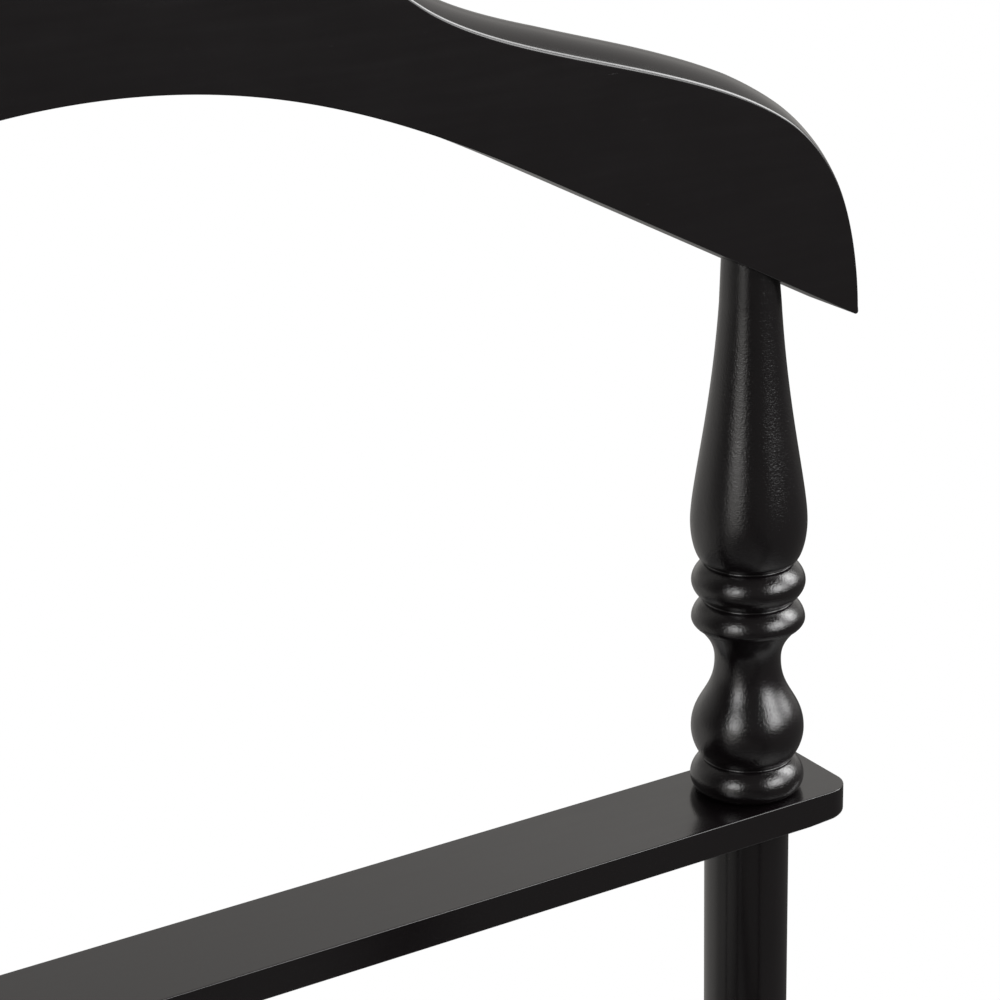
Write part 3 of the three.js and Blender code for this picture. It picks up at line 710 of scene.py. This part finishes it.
nut_low, nut_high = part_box("front_left_barrel_nut")
nut_tree, given, result = tree_with("Four barrel nuts", turned_inputs | corner_inputs | {
    "Length": "Float", "Bore": "Float", "Slot width": "Float", "Slot depth": "Float"})
nut_laid = node(nut_tree, "GeometryNodeTransform",
                {"Geometry": turning(nut_tree, given), "Rotation": (0, math.pi / 2, 0)})
bore = node(nut_tree, "GeometryNodeMeshCylinder",
            {"Vertices": 40, "Radius": given["Bore"], "Depth": given["Length"]})
bore_laid = node(nut_tree, "GeometryNodeTransform",
                 {"Geometry": bore.outputs["Mesh"], "Rotation": (math.pi / 2, 0, 0)})
slot_size = node(nut_tree, "ShaderNodeCombineXYZ",
                 {"X": given["Slot depth"], "Y": given["Length"], "Z": given["Slot width"]})
slot = node(nut_tree, "GeometryNodeMeshCube", {"Size": slot_size.outputs[0]})
half_length = maths(nut_tree, "MULTIPLY", given["Length"], 0.5)
slot_at = node(nut_tree, "ShaderNodeCombineXYZ", {"X": half_length})
slot_moved = node(nut_tree, "GeometryNodeTransform",
                  {"Geometry": slot.outputs["Mesh"], "Translation": slot_at.outputs[0]})
through = node(nut_tree, "GeometryNodeMeshBoolean",
               {"Mesh 1": nut_laid.outputs[0], "Mesh 2": bore_laid.outputs[0]},
               operation="DIFFERENCE", solver="EXACT")
slotted = node(nut_tree, "GeometryNodeMeshBoolean",
               {"Mesh 1": through.outputs["Mesh"], "Mesh 2": slot_moved.outputs[0]},
               operation="DIFFERENCE", solver="EXACT")
four_of_a_kind(nut_tree, slotted.outputs["Mesh"], given, result)

nut_radius = 5 * mm
nut_chamfer = 0.6 * mm
nut_half = (nut_high.x - nut_low.x) / 2
barrel_nuts = profile_line("barrel_nuts", dowel_profile(nut_radius, nut_half, nut_chamfer),
                           centre_circle)
grown(barrel_nuts, nut_tree, Sides=48, Centre=centre_circle, Length=2 * nut_half, Bore=3.3 * mm,
      Across=-post_spacing, Along=-2 * (nut_low.y + nut_radius), Material=steel,
      **{"Slot width": 1.6 * mm, "Slot depth": 3 * mm, "Turn left": math.pi})
turned_about(barrel_nuts, 0, (0, 0, cross_height))
settled(barrel_nuts)
fitted(barrel_nuts, steel, "zinc_steel", *[f"{corner}_barrel_nut" for corner in corner_names])

screw_low, screw_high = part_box("front_left_tray_screw")
tray_screws = profile_line("tray_screws", bolt_profile(
    radius=2.25 * mm, length=screw_high.z - screw_low.z, head_radius=4.5 * mm,
    head_height=2.7 * mm, chamfer=0.4 * mm), centre_circle)
grown(tray_screws, bolts, Sides=40, Centre=centre_circle, Material=steel, Across=post_spacing,
      Along=2 * screw_y, **{"Key width": 3 * mm, "Key depth": 1.6 * mm})
turned_about(tray_screws, 0, (0, 0, screw_low.z))
settled(tray_screws)
fitted(tray_screws, steel, "zinc_steel", *[f"{corner}_tray_screw" for corner in corner_names])


# Tray
# A lacquered board on the bearers, screwed from below, with four half-round lips glued on top:
# the front and rear ones run the full width and the side ones butt between them.

post_x = post_spacing / 2
tray_low, tray_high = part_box("tray_floor")
tray_thickness = tray_high.z - tray_low.z
tray_corner = 1.5 * mm
tray_ease = 0.8 * mm
tray_screw_depth = 7.3 * mm
tray_plan = strip(tray_high.x, tray_high.y, tray_corner)
tray_floor = board("tray_floor_board", tray_plan, eased_depths(tray_thickness, tray_ease, 4))
tray_floor.data.transform(Matrix.Rotation(math.pi / 2, 4, "X"))
for x in (-post_x, post_x):
    for y in (-screw_y, screw_y):
        top = tray_screw_depth - tray_thickness / 2
        bored(tray_floor, rod_between((x, y, -beyond_board), (x, y, top), screw_bore))
turned_about(tray_floor, 0, (0, 0, tray_low.z + tray_thickness / 2))
settled(tray_floor)
fitted(tray_floor, lacquer_along_x, "black_lacquer", "tray_floor")

lip_ease = 0.4 * mm
for name in ("front", "rear", "left", "right"):
    low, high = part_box(f"tray_{name}_lip")
    size = high - low
    middle = (low + high) / 2
    runs_across = name in ("front", "rear")
    length = size.x if runs_across else size.y
    half = (size.y if runs_across else size.x) / 2
    top = size.z - half
    outline = [(-half, 0), (half, 0)]
    outline += [(half * math.cos(a), top + half * math.sin(a))
                for a in np.linspace(0, math.pi, 25)]
    lip = board(f"tray_{name}_lip_strip", outline, eased_depths(length, lip_ease, 3))
    turned_about(lip, 1 if runs_across else 0, (middle.x, middle.y, low.z))
    settled(lip)
    fitted(lip, lacquer_along_x if runs_across else lacquer_along_y, "black_lacquer",
           f"tray_{name}_lip")


# Trouser rails
# A flat rail lies on each pair of posts. Its edges are just eased, and the undersides of its
# ends are sanded rounder. Studs from the spindles above clamp it on the posts.

rail_ease = 0.3 * mm
rail_end_round = 1.7 * mm
rail_end_length = 16 * mm
rail_end_fade = 11 * mm
rail_corner = 8 * mm
shading_rim = 0.5 * mm
stud_hole = 8.6 * mm


def drawn_in(radius, depth, thickness):
    """How far an edge that is rounded to radius is drawn in at this depth through a board."""
    into = np.maximum(0, radius - thickness / 2 + abs(depth))
    return radius - np.sqrt(np.maximum(0, radius ** 2 - into ** 2))


def rail_plan(half_length, half_width):
    """The rail seen from above: its right end from near to far, then the same turned about."""
    stations = [half_length - d * mm for d in (16, 14, 12, 10)]
    end = [(x, -half_width) for x in stations]
    for side, start in ((-1, -90), (1, 0)):
        for degrees in range(start, start + 91, 5):
            a = math.radians(degrees)
            end.append((half_length - rail_corner + rail_corner * math.cos(a),
                        side * (half_width - rail_corner) + rail_corner * math.sin(a)))
    end += [(x, half_width) for x in reversed(stations)]
    return end + [(-x, -y) for x, y in end]


for side in ("rear", "front"):
    low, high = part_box(f"{side}_trouser_rail")
    size, middle = high - low, (low + high) / 2
    plan = rail_plan(size.x / 2, size.y / 2)
    past_start = np.abs(plan)[:, 0] - size.x / 2 + rail_end_length
    near_end = np.clip(past_start / rail_end_fade, 0, 1)
    lower_rounds = rail_ease + (rail_end_round - rail_ease) * near_end

    def rounded_edge(depth):
        rounds = lower_rounds if depth < 0 else np.full(len(plan), rail_ease)
        return -drawn_in(rounds, depth, size.z)

    depths = [(depth, max(0, drawn - rail_end_round))
              for depth, drawn in eased_depths(size.z, rail_end_round, 8, shading_rim)]
    rail = board(f"{side}_trouser_rail_wood", plan, depths, rounded_edge)
    rail.data.transform(Matrix.Rotation(math.pi / 2, 4, "X"))
    for x in (-post_x, post_x):
        bored(rail, rod_between((x, 0, -beyond_board), (x, 0, beyond_board), stud_hole))
    turned_about(rail, 0, middle)
    settled(rail)
    fitted(rail, lacquer_along_x, "black_lacquer", f"{side}_trouser_rail")


# Spindles
# Four turned spindles stand on the rails: foot bead, bulb, cove, two beads and a long vase
# that draws in to a neck. The neck is cut to the slope of the hanger, with a tenon above.

# Radii and rises in millimetres, in the order in which the profile climbs from the rail.
foot_face_radius, foot_bead_radius, foot_bead_waist = 13.8, 17.0, 4.4
lower_groove_radius, lower_groove_rise = 13.6, 5.9
bulb_radius, bulb_rise = 16.8, 8.6
cove_radius, cove_rise = 9.8, 22.1
lip_radius, lip_rise = 14.4, 10.3
bead_radius, lower_bead_rise, upper_bead_rise = 16.75, 2.9, 5.3
middle_groove_radius, middle_groove_rise = 13.4, 5.6
upper_groove_radius, upper_groove_rise = 13.3, 5.7
vase_radius, vase_rise = 17.05, 12.0
neck_end_radius, seat_rise = 8.4, 160.4

seat_height = seat_rise * mm
seat_slope = 0.53
seat_gap = 0.05 * mm
neck_radius = neck_end_radius * mm
tenon_radius = 6.35 * mm
tenon_length = 24 * mm
tenon_chamfer = 1 * mm
stud_bore_radius = 4.3 * mm
stud_bore_depth = 25.3 * mm


def swell(path, radius, rise, count=14, run=0.1):
    """A quarter turn from a sharp groove, where it runs sideways a little, to the widest line."""
    x, z = path[-1]
    path += bezier((x, z), (x + run * (radius - x), z), (radius, z + 0.45 * rise),
                   (radius, z + rise), count)


def roll_off(path, radius, rise, count=14, run=0.1, level=1.0):
    """The quarter turn that follows, into the next groove or lip."""
    x, z = path[-1]
    path += bezier((x, z), (x, z + 0.55 * rise), (x + (1 - run) * (radius - x), z + level * rise),
                   (radius, z + rise), count)


def groove(path, round_radius=0.4):
    """The small round that the tip of the skew chisel leaves at the bottom of a groove."""
    x, z = path[-1]
    path += [np.array((x - round_radius * math.sin(a), z + round_radius * (1 - math.cos(a))))
             for a in np.linspace(0, math.pi, 9)[1:]]


def spindle_profile():
    """Radius and height in millimetres, up to the neck."""
    path = [np.array((foot_face_radius, 0.0))]
    path += bezier(path[0], (foot_bead_radius - 1.4, 0.4), (foot_bead_radius, 2.2),
                   (foot_bead_radius, foot_bead_waist), 16)
    roll_off(path, lower_groove_radius, lower_groove_rise)
    groove(path)
    swell(path, bulb_radius, bulb_rise)
    x, z = path[-1]
    path += bezier((x, z), (x, z + 9.5), (cove_radius, z + 11.2),
                   (cove_radius, z + cove_rise), 28)
    roll_off(path, lip_radius, lip_rise, 18, 0.3, 0.8)
    swell(path, bead_radius, lower_bead_rise)
    roll_off(path, middle_groove_radius, middle_groove_rise)
    groove(path)
    swell(path, bead_radius, upper_bead_rise)
    roll_off(path, upper_groove_radius, upper_groove_rise)
    groove(path)
    swell(path, vase_radius, vase_rise, 18, 0.45)
    x, z = path[-1]
    path += bezier((x, z), (x, z + 11.5), (neck_end_radius + 1.5, seat_rise - 38.5),
                   (neck_end_radius, seat_rise), 48)
    return path


spindle_tree, given, result = tree_with("Turned spindle", turned_inputs | {
    "Seat height": "Float", "Seat slope": "Float", "Seat gap": "Float"})
turned_shape = turning(spindle_tree, given)
spot = node(spindle_tree, "GeometryNodeInputPosition")
parts = node(spindle_tree, "ShaderNodeSeparateXYZ", {"Vector": spot.outputs[0]})
at_seat = maths(spindle_tree, "COMPARE", parts.outputs["Z"], given["Seat height"], 0.02 * mm)
fall = maths(spindle_tree, "MULTIPLY_ADD", parts.outputs["X"], given["Seat slope"],
             given["Seat gap"])
drop = maths(spindle_tree, "MULTIPLY", fall, -1.0)
lean = node(spindle_tree, "ShaderNodeCombineXYZ", {"Z": drop})
seated = node(spindle_tree, "GeometryNodeSetPosition",
              {"Geometry": turned_shape, "Selection": at_seat, "Offset": lean.outputs[0]})
finished(spindle_tree, seated.outputs[0], given, result)

spindle_line = [(0, stud_bore_depth), (stud_bore_radius, stud_bore_depth), (stud_bore_radius, 0)]
# The neck's rings stop well below the cut, so that only its rim follows the slope.
neck_clear = seat_height - 1.6 * seat_slope * neck_radius
spindle_line += [(r * mm, z * mm) for r, z in spindle_profile() if z * mm < neck_clear]
spindle_line += [
    (neck_radius, seat_height),
    (tenon_radius, seat_height),
    (tenon_radius, seat_height + tenon_length - tenon_chamfer),
    (tenon_radius - tenon_chamfer, seat_height + tenon_length),
    (0, seat_height + tenon_length),
]
lacquer_turned = satin_lacquer("satin_lacquer_turned", "Z", lathe=True)
for side in ("rear", "front"):
    for hand, sign in (("left", -1), ("right", 1)):
        low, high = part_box(f"{side}_{hand}_spindle")
        spindle = profile_line(f"{side}_{hand}_spindle_wood", spindle_line, centre_circle)
        grown(spindle, spindle_tree, Sides=112, Centre=centre_circle, Material=lacquer_turned,
              **{"Seat height": seat_height, "Seat slope": seat_slope, "Seat gap": seat_gap})
        turned_about(spindle, 1 - sign, ((low.x + high.x) / 2, (low.y + high.y) / 2, low.z))
        settled(spindle, 50)
        fitted(spindle, lacquer_turned, "black_lacquer", f"{side}_{hand}_spindle")


# Hangers
# Each hanger is one 22 mm board, sawn to a hump, long shoulders and a shallow arch. Its top
# edge is crowned from front to back so that cloth hangs without a crease, the other edges
# are only eased, and it is glued down on the tenons of two spindles.

def rounded_corner(before, corner, after, radius, count=8):
    """A round of this radius between two runs of points that meet at a corner."""
    back = (before[-1] - corner) / np.linalg.norm(before[-1] - corner)
    on = (after[0] - corner) / np.linalg.norm(after[0] - corner)
    half_angle = math.acos(np.dot(back, on)) / 2
    reach = radius / math.tan(half_angle)
    start, end = corner + back * reach, corner + on * reach
    centre = corner + (back + on) / np.linalg.norm(back + on) * radius / math.sin(half_angle)
    angles = [math.atan2(*(p - centre)[::-1]) for p in (start, end)]
    sweep = (angles[1] - angles[0] + math.pi) % (2 * math.pi) - math.pi
    arc = [centre + radius * np.array((math.cos(a), math.sin(a)))
           for a in angles[0] + sweep * np.linspace(0, 1, count + 1)]
    kept = [p for p in before if np.linalg.norm(p - corner) > reach + 0.3]
    return kept + arc + [p for p in after if np.linalg.norm(p - corner) > reach + 0.3]


def hanger_outline():
    """Anticlockwise, in millimetres across and above the rail, from the middle of the arch."""
    arch_top = np.array((0, 237.5))
    arch_end = np.array((129.0, 199.09))
    tip = np.array((232.2, 144.394))
    cheek = np.array((223.7, 184.7))
    shoulder = np.array((205.24, 205.34))
    hump_foot = np.array((91.3, 249.65))
    hump_top = np.array((0, 288))
    tip_round = 0.8
    under = [arch_top]
    under += bezier(arch_top, arch_top + (47.73, 0), arch_end + (-43.86, 23.246), arch_end, 48)
    under += list(arch_end + (tip - arch_end) * t for t in np.linspace(0, 1, 31)[1:])
    over = bezier(tip, tip + (0, 14), cheek + (5.6, -10.6), cheek, 30)
    over += bezier(cheek, cheek + (-4.7, 8.8), shoulder + (7.83, -5.04), shoulder, 30)
    over += bezier(shoulder, shoulder + (-31.22, 20.05), hump_foot + (26.2, -18.52),
                   hump_foot, 60)
    over += bezier(hump_foot, hump_foot + (-18.47, 13.05), hump_top + (41.998, 0), hump_top, 40)
    right = rounded_corner(under[:-1], tip, over, tip_round)
    left = [np.array((-p[0], p[1])) for p in right[-2:0:-1]]
    return np.array(right + left)


hanger_thickness = 22 * mm
hanger_ease = 0.55 * mm
lower_ease = 0.25 * mm
tenon_bore = 13.3 * mm
tenon_bore_top = 184.7 * mm
below_hanger = 140 * mm
outline = hanger_outline() * mm
upward = inward_normals(outline)[:, 1] < 0
# The crown begins at the height of the seats and is full this much higher up the tips.
crown_run = 23 * mm
crown_share = np.where(upward, np.clip((outline[:, 1] - seat_height) / crown_run, 0, 1), 0)
# How far the crown rises above the arrises, from the middle of the hump out to the tip.
crown_rise = np.interp(np.abs(outline[:, 0]) / mm, (0, 70, 90, 110, 130, 160, 190, 215),
                       (3.95, 4.1, 4.56, 4.96, 5.36, 5.25, 4.81, 3.55)) * mm


def crown(depth):
    """How far each point of the outline stands out at this depth from the plain eased board."""
    sharper = (drawn_in(hanger_ease, depth, hanger_thickness)
               - drawn_in(lower_ease, depth, hanger_thickness))
    lift = crown_share * crown_rise * (1 - (2 * depth / hanger_thickness) ** 2)
    return lift + np.where(upward, 0, sharper)


edges = eased_depths(hanger_thickness, hanger_ease, 6, shading_rim)
half_count = len(edges) // 2
between = np.linspace(edges[half_count - 1][0], edges[half_count][0], 27)[1:-1]
hanger_depths = edges[:half_count] + [(depth, 0.0) for depth in between] + edges[half_count:]
for side in ("rear", "front"):
    low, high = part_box(f"{side}_hanger")
    rail_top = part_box(f"{side}_trouser_rail")[1].z
    y = (low.y + high.y) / 2
    hanger = board(f"{side}_hanger_board", outline, hanger_depths, crown)
    turned_about(hanger, 0, (0, y, rail_top))
    for x in (-post_x, post_x):
        bored(hanger, rod_between((x, y, rail_top + below_hanger),
                                  (x, y, rail_top + tenon_bore_top), tenon_bore))
    settled(hanger)
    fitted(hanger, lacquer_along_x, "black_lacquer", f"{side}_hanger")


# Studs and threaded inserts
# These plated steel pieces are inside the wood: a stud from each spindle through the rail, and
# an insert in the top and the foot of each post. Their CAD solids stay, with the steel finish.

for cad_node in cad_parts.values():
    if not cad_node.hide_render:
        cad_node.data.materials.clear()
        cad_node.data.materials.append(steel)


# Studio
# A pale floor that fades into white, soft lights to the left, in front and to the right, and
# a bright wall behind the stand, as in a photographer's studio.

lit_x, lit_y = 0.2, 0.125


def soft_light(name, centre, width, height, radiance):
    """A softbox, brightest in the middle of its cloth, level and turned to the right spindles."""
    lamp = bpy.data.lights.new(name, "AREA")
    lamp.shape = "RECTANGLE"
    lamp.size, lamp.size_y = width, height
    lamp.energy = radiance * math.pi * width * height
    lamp.use_nodes = True
    tree = lamp.node_tree
    spot = node(tree, "ShaderNodeNewGeometry").outputs["Parametric"]
    off = node(tree, "ShaderNodeVectorMath", {0: spot, 1: (0.5, 0.5, 0.0)},
               operation="DISTANCE").outputs["Value"]
    plug(tree, tree.nodes["Emission"], {
        "Strength": ranged(tree, off, (0.15, 0.54), (1.3, 0.3), "SMOOTHSTEP")})
    obj = bpy.data.objects.new(name, lamp)
    bpy.context.scene.collection.objects.link(obj)
    look = np.array((lit_x - centre[0], lit_y - centre[1], 0.0))
    look /= np.linalg.norm(look)
    right = np.cross(look, (0, 0, 1))
    right /= np.linalg.norm(right)
    up = np.cross(right, look)
    turn = Matrix(np.array([right, up, -look]).T.tolist()).to_4x4()
    obj.matrix_world = Matrix.Translation(centre) @ turn


soft_light("soft_light_left", (-1.14, -0.55, 1.53), width=0.74, height=0.9, radiance=3.6)
soft_light("soft_light_front", (1.012, -1.254, 1.62), width=1.28, height=1.12, radiance=4.4)
soft_light("soft_light_right", (1.72, -0.37, 1.84), width=0.98, height=1.5, radiance=5.9)

world = bpy.data.worlds.new("studio")
bpy.context.scene.world = world
world.use_nodes = True
tree = world.node_tree
background = tree.nodes["Background"]
direction = node(tree, "ShaderNodeTexCoord").outputs["Generated"]


def glow_toward(aim, start, full, low, high, rise="SMOOTHSTEP"):
    """A brightness that rises from low to high where the direction nears aim."""
    near = node(tree, "ShaderNodeVectorMath", {0: direction, 1: aim}, operation="DOT_PRODUCT")
    return ranged(tree, near.outputs["Value"], (start, full), (low, high), rise)


def seen_directly(tree):
    """One for a ray that reaches the camera straight or through glass, and zero otherwise."""
    path = node(tree, "ShaderNodeLightPath").outputs
    return maths(tree, "MAXIMUM", path["Is Camera Ray"], path["Is Transmission Ray"])


# The lacquer mirrors a wall that brightens to the right and has darker patches in it: where
# each lies, the cosines between which it fades in, and how much light it takes away.
dark_patches = {
    "right of the stand": ((0.543, 0.835, 0.087), 0.93, 0.985, -0.3),
    "ceiling": ((0.0, 0.0, 1.0), 0.6, 0.9, -0.02),
    "left": ((-0.55, 0.75, 0.37), 0.6, 0.98, -0.16),
    "above the stand": ((0.03, 0.848, 0.53), 0.852, 0.966, -0.2),
    "low on the right": ((0.927, 0.0, -0.375), 0.8, 0.97, -0.2),
}
wall = glow_toward((0.375, 0.927, 0.0), -0.2, 1.0, 0.09, 0.76, "LINEAR")
for aim, start, full, loss in dark_patches.values():
    wall = maths(tree, "ADD", wall, glow_toward(aim, start, full, 0.0, loss))
ground = glow_toward((-0.208, 0.978, 0.0), 0.5, 0.9, 0.09, 0.4)
left_ground = glow_toward((-0.875, 0.235, -0.42), 0.72, 1.0, 0.0, 0.14)
ground = maths(tree, "ADD", ground, left_ground)
above = glow_toward((0.0, 0.0, 1.0), -0.25, -0.02, 0.0, 1.0)
room = node(tree, "ShaderNodeMix", {"Factor": above, "A": ground, "B": wall}, data_type="FLOAT")
spill = glow_toward((-0.893, -0.449, 0.04), 0.93, 0.995, 0.0, 0.8)
room = maths(tree, "ADD", room.outputs["Result"], spill)
seen = seen_directly(tree)
shown = node(tree, "ShaderNodeMix", {"Factor": seen, "A": room, "B": 1.0}, data_type="FLOAT")
plug(tree, background, {
    "Color": blend(tree, seen, (1.025, 1.0, 0.965, 1), (1, 1, 1, 1)),
    "Strength": shown.outputs["Result"]})

# The floor is grey under the stand, for its shadow, and turns to the background's white towards
# the rim. Lacquer mirrors a little of that white too.
floor_radius = 1.1
floor_sides = 128
disc = [(floor_radius * math.cos(a), floor_radius * math.sin(a), 0)
        for a in np.linspace(0, 2 * math.pi, floor_sides, endpoint=False)]
floor = new_object("floor", disc, [], [tuple(range(floor_sides))])
paper, tree, shader = new_material("white_paper")
place = node(tree, "ShaderNodeTexCoord").outputs["Object"]
away = node(tree, "ShaderNodeVectorMath", {0: place}, operation="LENGTH").outputs["Value"]
rim = ranged(tree, away, (0.45, 1.05), (0.0, 1.0), "SMOOTHSTEP")
lit = ranged(tree, rim, (0.0, 1.0), (0.65, 1.0))
faint = maths(tree, "MULTIPLY", rim, 0.12)
glossy = node(tree, "ShaderNodeLightPath").outputs["Is Glossy Ray"]
mirrored = maths(tree, "MULTIPLY", glossy, faint)
plug(tree, shader, {
    "Base Color": blend(tree, rim, (0.5, 0.5, 0.5, 1), (0, 0, 0, 1)),
    "Roughness": 0.9,
    "Specular IOR Level": 0.1,
    "Emission Color": (1, 1, 1, 1),
    "Emission Strength": maths(tree, "MULTIPLY_ADD", seen_directly(tree), lit, mirrored)})
floor.data.materials.append(paper)
floor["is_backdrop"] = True

# The camera is in front of the stand, to its left and a little higher, and looks down on it.
camera = bpy.data.cameras.new("camera")
camera.lens = 106.64
camera.sensor_width = 36
camera.clip_start = 0.05
camera.clip_end = 60
camera_object = bpy.data.objects.new("camera", camera)
bpy.context.scene.collection.objects.link(camera_object)
camera_place = (-0.2772, -0.5258, 1.2012)
camera_right = (0.85051, -0.52550, -0.02192)
camera_up = (0.19903, 0.28299, 0.93825)
camera_back = (-0.48684, -0.80235, 0.34528)
turn = Matrix([camera_right, camera_up, camera_back]).transposed().to_4x4()
camera_object.matrix_world = Matrix.Translation(camera_place) @ turn
bpy.context.scene.camera = camera_object
bpy.context.scene.view_settings.view_transform = "Standard"

low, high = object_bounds()
